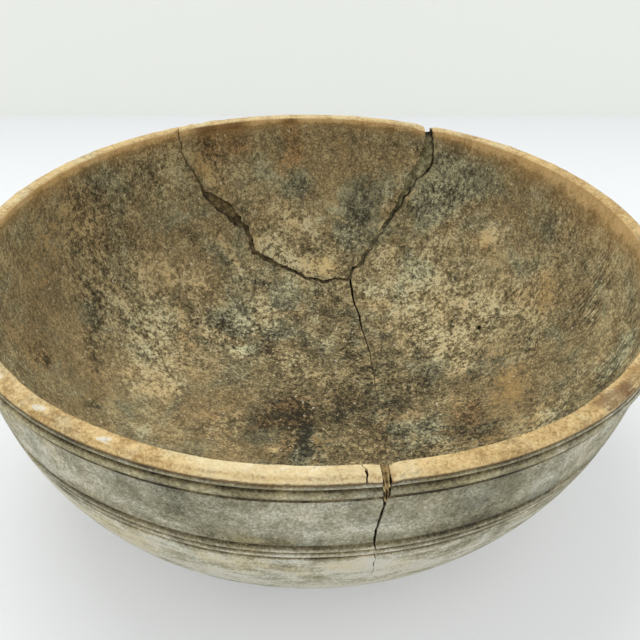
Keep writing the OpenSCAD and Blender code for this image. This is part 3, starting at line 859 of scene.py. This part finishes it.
def old_wood():
    """Old, dry wood. A tone from dark to pale is summed from noise and the stored
    wear, stains and painted light and shade, and read off a run of colours, one run
    each for the hollow, the rim and the outside; stains then tint it."""
    made, wire, shader = material("old_wood")
    place = wire.node("TexCoord", out="Object")
    pale, dark, red = wire.channels("stain")
    gold, blue, calm_and_rim_highlight = wire.channels("tint")
    rim, broken_wood_and_shade, outside = wire.channels("zone")
    groove, edge, glow = wire.channels("damage")
    hatch, marks, crust = wire.channels("marks")
    deep, rim_edge_shade, low = wire.channels("floor")
    broad = place.noise(50, 3)
    hue = place.noise(26, 4, 0.62, 0.6)
    patch = place.noise(12, 4, 0.62, 0.5)
    fuzz = place.noise(2.6, 5, 0.74, 0.4, (1, 1, 0.85))
    brush = place.noise(5, 4, 0.7, 0.8, (1, 1, 0.42))
    grit = place.noise(1.2, 3, 0.65, 0.5)
    speck = place.noise(2.8, 2, 0.5)
    streak = place.noise(8, 4, 0.66, 0.2, (0.28, 0.28, 1.6))
    stroke = place.noise(1.5, 2, 0.5, 0.3, (0.3, 1, 0.14))
    thread = place.noise(6, 2, 0.5, 1.4)
    thread = thread.maths("ABSOLUTE", thread - 0.5).ramp(0.018, 0.0)

    # Inside: fuzzy olive and brown, crusted pale and darker in patches, with painted
    # shade on the floor of the hollow and painted light on the wall below the rim
    coarse = 1 - calm_and_rim_highlight * 0.6
    clot = (brush + fuzz + patch * 0.5) * 0.4
    # deep darkens the floor of the hollow as painted shade
    tone = 0.61 - deep * 0.19 + (broad - 0.5) * 0.5 + coarse * (patch - 0.5) * 1.0
    tone = tone + coarse * (fuzz - 0.5) * 1.9 + (grit - 0.5) * (1.6 - calm_and_rim_highlight * 0.5) + thread * 0.04
    # glow lightens the wall below the rim as painted light
    tone = tone + pale * ((clot + pale * 0.05).ramp(0.47, 0.59) * 0.44 - 0.03) + glow * 0.1
    tone = tone - dark * ((clot - dark * 0.04).ramp(0.54, 0.41) * 0.42 + 0.05)
    tone = tone + hatch * ((stroke - 0.5) * 1.9 - 0.02) + gold * (0.05 + pale * 0.2) - red * 0.12
    inner = tone.colours([(0.0, (48, 40, 23)), (0.24, (84, 74, 49)), (0.46, (122, 109, 76)),
                          (0.64, (153, 137, 98)), (0.82, (189, 172, 126)), (1.0, (226, 212, 166))])
    warm = (hue + calm_and_rim_highlight * 0.15 + gold * 0.25 - 0.5).ramp(0.0, 0.25)
    inner = inner.over(paint(152, 126, 84), warm * 0.45, "COLOR")
    cool = (0.5 - hue + blue * 0.3).ramp(0.0, 0.25)
    inner = inner.over(paint(102, 104, 84), cool * 0.55, "COLOR")
    rust = (red * 0.6 + patch - 0.62).ramp(0.0, 0.4)
    inner = inner.over(paint(134, 102, 62), rust * 0.6, "COLOR")
    ochre = gold * 0.9 + (fuzz - 0.5) * 2.8 + (grit - 0.5) * 1.6 + (patch - 0.5) * 1.4
    ochre = (ochre - 0.36).ramp(0.0, 0.5)
    inner = inner.over(paint(176, 142, 84), ochre * 0.6)
    inner = inner.over(paint(226, 204, 146), (ochre * pale).ramp(0.2, 0.8) * 0.85)
    # Golden painted light on the wall below the rim
    inner = inner.over(paint(172, 134, 78), glow * 0.75)
    inner = inner.over(paint(232, 222, 192), speck.ramp(0.68, 0.71) * grit.ramp(0.42, 0.55) * 0.75)
    flake = (crust * 0.75 + (fuzz - 0.5) * 3.2 + (patch - 0.5) * 2.4 - 0.62).ramp(0.0, 0.3)
    inner = inner.over(paint(204, 184, 134), flake * 0.7)

    # The rim: worn bare, golden, paler where hands and cloths have rubbed it, with a
    # painted highlight at its front and painted shade along its edges
    # On the rim, the calm channel is a painted highlight at its front
    bare = 0.45 + calm_and_rim_highlight * outside * 0.32 + (patch - 0.5) * 0.7 + (broad - 0.5) * 0.2
    bare = bare + (fuzz - 0.5) * 0.75 + (grit - 0.5) * 0.7 + pale * 0.4 - red * 0.3
    # Painted shade towards the rim's edges, and painted light where glow reaches
    bare = bare - gold * 0.1 - (1 - rim) * 0.45 + glow * 0.1
    bare = bare.colours([(0.0, (112, 80, 46)), (0.25, (178, 144, 92)), (0.5, (224, 200, 148)),
                         (0.75, (238, 218, 170)), (1.0, (248, 238, 214))])
    bare = bare.over(paint(208, 171, 104), (gold * 0.6 + hue - 0.45).ramp(0.0, 0.4) * 0.4, "COLOR")
    bare = bare.over(paint(196, 188, 150), (0.5 - hue).ramp(0.0, 0.15) * 0.35, "COLOR")
    # Golden painted light where glow reaches the rim's inner edge
    bare = bare.over(paint(206, 160, 94), glow * 0.55, "COLOR")
    bare = bare.over(paint(228, 226, 210), (pale * outside).ramp(0.35, 0.6) * 0.7)
    worn = (red * 0.9 + (fuzz - 0.5) * 2.0 + (patch - 0.5) - 0.3).ramp(0.0, 0.6)
    bare = bare.over(paint(116, 78, 48), worn * 0.65)

    # Outside: silvered and furry, paler below the lines as painted light bounced from the
    # table, darker in every groove and paler on the bead crests
    tone = 0.67 + (broad - 0.5) * 0.7 + (patch - 0.5) * 1.0 + (fuzz - 0.5) * 0.5
    tone = tone + (grit - 0.5) * 1.1 + (streak - 0.5) * 0.4
    # The low channel is painted light bounced up from the table onto the wall below the lines
    tone = tone + low * (0.2 + (streak - 0.5) * 0.8) + pale * 0.22 - dark * 0.24
    # Darker in the grooves; outside, the blue channel is the bead crests, made paler
    tone = tone - groove * (0.42 + (fuzz - 0.5)) + blue * 0.12
    outer = tone.colours([(0.0, (40, 34, 20)), (0.2, (84, 78, 55)), (0.45, (130, 125, 98)),
                          (0.65, (160, 154, 127)), (0.82, (190, 184, 158)), (1.0, (220, 214, 196))])
    outer = outer.over(paint(132, 134, 122), (0.56 - hue).ramp(0.0, 0.2) * 0.35, "COLOR")
    outer = outer.over(paint(146, 134, 94), (gold * 0.8 + hue - 0.5).ramp(0.05, 0.5) * 0.7, "COLOR")
    outer = outer.over(paint(124, 104, 64), groove * 0.6, "COLOR")
    outer = outer.over(paint(150, 96, 54), red * 0.6)

    colour = inner.over(outer, outside)
    bared = rim * 1.2 + (fuzz - 0.5) * 1.1 + (patch - 0.5) * 0.7 - 0.25
    colour = colour.over(bare, bared.ramp(0.0, 0.7))
    # Painted shade under the rim's roll, along its lower edge
    colour = colour.over(paint(98, 70, 40), (rim_edge_shade * 1.1 + fuzz * 1.4 - 1.1).ramp(0.0, 0.6) * 0.75)
    colour = colour.over(paint(58, 46, 30), (edge + fuzz * 1.2 - 1.0).ramp(0.1, 0.5) * 0.55)
    # Broken faces darkened with depth: the broken wood's colour and painted shade deep in the cracks
    colour = colour.over(paint(46, 35, 21), broken_wood_and_shade * 0.92)
    height = fuzz * (0.9 - outside * 0.4) + grit * 0.5 + thread * 0.15 + flake * 0.2
    ridges = place.node("TexWave", {"bands_direction": "DIAGONAL"},
                        {"Vector": place, "Scale": 180.0, "Distortion": 2.0, "Detail": 1.0})
    normal = wire.bump(height + ridges * marks * 0.5, 0.9 * MM)
    finish_shader(wire, shader, colour, fuzz * 0.25 + 0.68, normal)
    return made


def dress(piece, finish):
    """Gives a piece its one material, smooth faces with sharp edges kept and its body
   ."""
    mesh = piece.data
    mesh.materials.clear()
    mesh.materials.append(finish)
    mesh.polygons.foreach_set("material_index", np.zeros(len(mesh.polygons), np.int32))
    mesh.shade_smooth()
    mesh.set_sharp_from_angle(angle=np.radians(42))
    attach(piece, "root")


wood = old_wood()
weather(bowl_body)
dress(bowl_body, wood)
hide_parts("bowl_body")

# ---------------------------------------------------------------------------
# The broken-out piece: the part of the wall and rim that came away at the back
# in the shape of a V. It was turned with the bowl, so it has the same section,
# lines and wear, and it has been set back in its place.
# ---------------------------------------------------------------------------

rim_fragment = bpy.data.objects.new("broken_out_piece", whole)
bpy.context.scene.collection.objects.link(rim_fragment)
carve(rim_fragment, outward(break_cutter("piece tool", 0.5, 24)), "INTERSECT")
weather(rim_fragment)
dress(rim_fragment, wood)
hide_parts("rim_fragment")

# ---------------------------------------------------------------------------
# Filler in the seam: a brown putty pressed between the broken edges, smoothed
# with a finger and shrunk below the wood. On the right it has come away from the
# bowl and left an open crack.
# ---------------------------------------------------------------------------


LAP = 0.3 * MM


def putty():
    """The filler's skin: round each point of the seam goes a closed ring, across the
    gap on the inside of the wall and back on the outside, each face sunk in a
    hollow curve with lumps on it. It laps into the wood on each side of the gap."""
    s, flat, near, far, gap, side = seam_path(0.9 * MM)
    share = s / s[-1]
    height = (np.column_stack([flat, near]) @ BREAK_AXES)[:, 2]
    keep = height < BOWL_H - 1.5 * MM
    right = smooth(*LOOSE_ARM, share)
    opened = right * np.minimum(gap * 0.15, 0.55 * MM)
    shut = smooth(*SHUT_ARM, share)
    low_side = -0.5 * gap - LAP * (1 - right) + opened
    high_side = 0.5 * gap + LAP
    rings, relief = [], []
    for face, sign, across in (("in", 1, np.linspace(0, 1, 9)), ("out", -1, np.linspace(1, 0, 7))):
        start = low_side if face == "in" else -0.5 * gap - LAP
        for t in across:
            off = start + (high_side - start) * t + seam_jag(s)
            place = flat + side * off[:, None]
            if face == "in":
                w = meets(place, near - 16 * MM, near + 16 * MM, inner_r)
            else:
                w = meets(place, near + 3 * MM, near + 60 * MM, turned)
            hollow = (0.4 + 0.06 * gap / MM) * MM * np.sin(np.pi * np.clip(t, 0, 1))
            top = smooth(BOWL_H - 7 * MM, BOWL_H - 2 * MM, height) * (face == "in")
            sink = (0.8 - 0.35 * right - 0.6 * shut) * MM + hollow * (1 - 0.5 * right)
            sink = sink + right * (0.4 * (1 - t) + 2 * top) * MM
            q = np.column_stack([place, w])
            lump = 1.4 * ripple(q, 4.5 * MM, 51) + 1.1 * ripple(q, 1.9 * MM, 52)
            rings.append(np.column_stack([place, w + sign * (sink + lump * MM)]))
            # The relief darkens the putty in its dips, along its edges and in the recess at the top
            # of the notch: painted shade
            putty_crease_shade = np.exp(-np.minimum(t, 1 - t) * gap / (0.5 * MM))
            relief.append(0.5 - 0.45 * lump - 0.35 * putty_crease_shade - 0.4 * top + 0.35 * shut)
    root = flat + side * (-0.5 * gap - LAP + seam_jag(s))[:, None]
    for t in (0.7, 0.3):
        w = near + (far - near) * t
        rings.append(np.column_stack([root, w]))
        relief.append(w * 0)
    loops = np.stack(rings, 1)[keep]
    points, faces = skinned(loops, loops[[0, -1]].mean(1))
    made = outward(piece_of("seam_putty", dried(points @ BREAK_AXES), faces))
    layer = made.data.attributes.new("relief", "FLOAT", "POINT")
    layer.data.foreach_set("value", np.append(np.stack(relief, 1)[keep].ravel(), [0, 0]))
    return made


def putty_finish():
    """Dark brown putty, greener and dustier where it is thick on the right, with painted shade where
    its relief is low.
    """
    made, wire, shader = material("brown_putty")
    place = wire.node("TexCoord", out="Object")
    fuzz = place.noise(2.6, 4, 0.7, 0.6)
    patch = place.noise(9, 3)
    relief = wire.node("Attribute", {"attribute_name": "relief"}, out="Fac")
    # The relief gives painted shade in the putty's dips and creases
    tone = relief * 0.9 + (fuzz - 0.5) * 1.6 + (patch - 0.5) * 0.6
    thin = tone.colours([(0.0, (44, 36, 20)), (0.4, (84, 70, 42)), (0.7, (112, 96, 60)),
                         (1.0, (160, 142, 98))])
    thick = tone.colours([(0.0, (50, 44, 27)), (0.3, (106, 98, 67)), (0.6, (142, 135, 99)),
                          (1.0, (204, 194, 154))])
    right = place.node("SeparateXYZ", None, {0: place}, out=0).ramp(0.012, 0.05)
    colour = thin.over(thick, right)
    finish_shader(wire, shader, colour, fuzz * 0.2 + 0.6, wire.bump(fuzz, 0.8 * MM))
    return made


seam_filler = putty()
dress(seam_filler, putty_finish())
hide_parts("seam_filler")

# ---------------------------------------------------------------------------
# Plug in the split rim: a twist of fibre and glue pushed into the top of the
# split, standing lumpy between its edges and drying away from them.
# ---------------------------------------------------------------------------


def plug():
    """The plug's skin: level rings from the top down, each a rounded oblong as wide
    as the split there, pushed in and out by lumps that wind down it."""
    z = BOWL_H - np.concatenate([[1.0, 0.75, 0.75], np.linspace(1.1, 15.6, 40), [15.9]]) * MM
    scale = np.concatenate([[0.2, 0.55, 0.85], np.ones(40), [0.3]])
    off, width = split_at(z)
    depth = BOWL_H - z
    inner = inner_r(np.maximum(depth, 0.5 * MM)) + 0.4 * MM
    outer = turned(depth) - 0.35 * MM - np.maximum(RIM_FALL - depth, 0) * 0.9
    a = np.linspace(0, 2 * np.pi, 56, endpoint=False)
    box_x, box_y = [np.sign(f) * np.abs(f) ** 0.55 for f in (np.cos(a), np.sin(a))]
    middle, half = (inner + outer) / 2, (outer - inner) / 2
    half_w = np.maximum(width * 0.43, 0.5 * MM)
    off = off - width * 0.06
    out = middle[:, None] + half[:, None] * box_y * scale[:, None]
    wide = off[:, None] + half_w[:, None] * box_x * scale[:, None]
    height = np.repeat(z[:, None], len(a), 1)
    q = np.stack([wide, out, height * 0.6], -1).reshape(-1, 3)
    knots = 1.3 * ripple(q, 1.9 * MM, 71) + 1.0 * ripple(q, 3.4 * MM, 72)
    lay = wide / (1.35 * MM) + height / (6.5 * MM) + 0.3 * np.sin(height / (1.6 * MM))
    twist = 0.32 * np.sin(2 * np.pi * lay) + knots.reshape(out.shape)
    twist = twist * MM * scale[:, None]
    out = out + twist * box_y * 1.1 - 0.2 * MM
    wide = wide + twist * box_x * 0.4
    height = height + twist * (np.arange(len(z)) < 4)[:, None] * 1.2
    loops = out[..., None] * SPLIT_OUT + wide[..., None] * SPLIT_ACROSS
    loops[..., 2] += height
    points, faces = skinned(loops, loops[[0, -1]].mean(1))
    made = outward(piece_of("split_plug", dried(points), faces))
    # The relief lays painted shade in the hollows of the twist and painted highlights on its ridges
    relief = made.data.attributes.new("relief", "FLOAT", "POINT")
    relief.data.foreach_set("value", np.append(0.5 + 0.6 * twist.ravel() / MM, [0.5, 0.5]))
    return made


def plug_finish():
    """Brown fibre and old glue, with painted shade in its hollows and painted highlights on its
    ridges.
    """
    made, wire, shader = material("plug_fibre")
    place = wire.node("TexCoord", out="Object")
    fuzz = place.noise(1.6, 4, 0.65, 1.0)
    relief = wire.node("Attribute", {"attribute_name": "relief"}, out="Fac")
    # The tone follows the relief: painted shade and painted highlights
    tone = relief * 0.8 + (fuzz - 0.5) * 1.4 + 0.12
    colour = tone.colours([(0.0, (34, 26, 14)), (0.3, (88, 68, 38)), (0.55, (146, 120, 74)),
                           (0.8, (190, 164, 112)), (1.0, (214, 194, 146))])
    finish_shader(wire, shader, colour, fuzz * 0.2 + 0.65, wire.bump(fuzz, 0.8 * MM))
    return made


crack_filler = plug()
dress(crack_filler, plug_finish())
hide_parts("crack_filler")

# ---------------------------------------------------------------------------
# Table and backdrop: a plain pale table with a plain wall a little behind it.
# ---------------------------------------------------------------------------

TABLE_HALF = 4
WALL_LEFT = (-1.345, 0.344)
WALL_RIGHT = (1.353, 0.706)
WALL_TOP = 0.5


def plain(name, shade, glow, share):
    """A plain matt colour, a share of which the camera sees as its own light, so
    that it reads pale without more light on the bowl. From behind it is clear."""
    made, wire, shader = material(name)
    shader.inputs["Base Color"].default_value = shade
    shader.inputs["Roughness"].default_value = 0.9
    shader.inputs["Specular IOR Level"].default_value = 0.1
    seen = wire.node("LightPath", out="Is Camera Ray") * share
    light = wire.node("Emission", None, {"Color": glow})
    matt = Wire(wire.tree, shader.outputs[0])
    both = wire.node("MixShader", None, {0: seen, 1: matt, 2: light})
    behind = wire.node("NewGeometry", out="Backfacing")
    both = wire.node("MixShader", None, {0: behind, 1: both, 2: wire.node("BsdfTransparent")})
    wire.tree.links.new(both.socket, made.node_tree.nodes["Material Output"].inputs["Surface"])
    return made


corners = [(x * TABLE_HALF, y * TABLE_HALF, 0) for x, y in ((-1, -1), (1, -1), (1, 1), (-1, 1))]
table = piece_of("table", corners, [(0, 1, 2, 3)])
table_white = plain("table_white", paint(240, 241, 242), paint(253, 254, 254), 0.32)
table.data.materials.append(table_white)
corners = [(*WALL_LEFT, 0), (*WALL_RIGHT, 0), (*WALL_RIGHT, WALL_TOP), (*WALL_LEFT, WALL_TOP)]
backdrop = piece_of("backdrop", corners, [(0, 1, 2, 3)])
wall_white = plain("wall_white", paint(237, 240, 234), paint(248, 250, 243), 0.5)
backdrop.data.materials.append(wall_white)

# ---------------------------------------------------------------------------
# Light: an even pale room, and one wide soft window at the back left.
# ---------------------------------------------------------------------------

world = bpy.data.worlds.new("room")
bpy.context.scene.world = world
world.use_nodes = True
world.node_tree.nodes["Background"].inputs["Color"].default_value = (0.95, 0.97, 1, 1)
world.node_tree.nodes["Background"].inputs["Strength"].default_value = 0.85


def window(name, place, aim, size, power):
    """A square soft lamp at a place, turned to shine at a point."""
    light = bpy.data.lights.new(name, "AREA")
    light.size = size
    light.energy = power
    lamp = bpy.data.objects.new(name, light)
    lamp.location = place
    lamp.rotation_euler = (Vector(aim) - Vector(place)).to_track_quat("-Z", "Y").to_euler()
    bpy.context.scene.collection.objects.link(lamp)


window("window", place=(-0.6, 0.7, 2.6), aim=(0, 0, 0.1), size=1.6, power=30)

# ---------------------------------------------------------------------------
# Camera: above the rim in front of the bowl, looking down into the hollow.
# ---------------------------------------------------------------------------

VIEW_BACK = 2.303 * RIM_R
VIEW_UP = 1.279 * RIM_R
VIEW_DIP = np.radians(34.14)
VIEW_TURN = np.radians(0.09)
VIEW_ROLL = np.radians(2.90)
FOCUS_PER_WIDTH = 900 / 640
SENSOR = 36
camera = bpy.data.cameras.new("camera")
camera.sensor_width = SENSOR
camera.lens = SENSOR * FOCUS_PER_WIDTH
viewer = bpy.data.objects.new("camera", camera)
ahead = np.array([np.sin(VIEW_TURN) * np.cos(VIEW_DIP), np.cos(VIEW_TURN) * np.cos(VIEW_DIP),
                  -np.sin(VIEW_DIP)])
level = np.array([np.cos(VIEW_TURN), -np.sin(VIEW_TURN), 0])
above = np.cross(level, ahead)
right = np.cos(VIEW_ROLL) * level + np.sin(VIEW_ROLL) * above
upward = np.cos(VIEW_ROLL) * above - np.sin(VIEW_ROLL) * level
viewer.matrix_world = Matrix([
    (right[0], upward[0], -ahead[0], 0),
    (right[1], upward[1], -ahead[1], -VIEW_BACK),
    (right[2], upward[2], -ahead[2], BOWL_H + VIEW_UP),
    (0, 0, 0, 1)])
bpy.context.scene.collection.objects.link(viewer)
bpy.context.scene.camera = viewer
bpy.context.scene.view_settings.view_transform = "Standard"
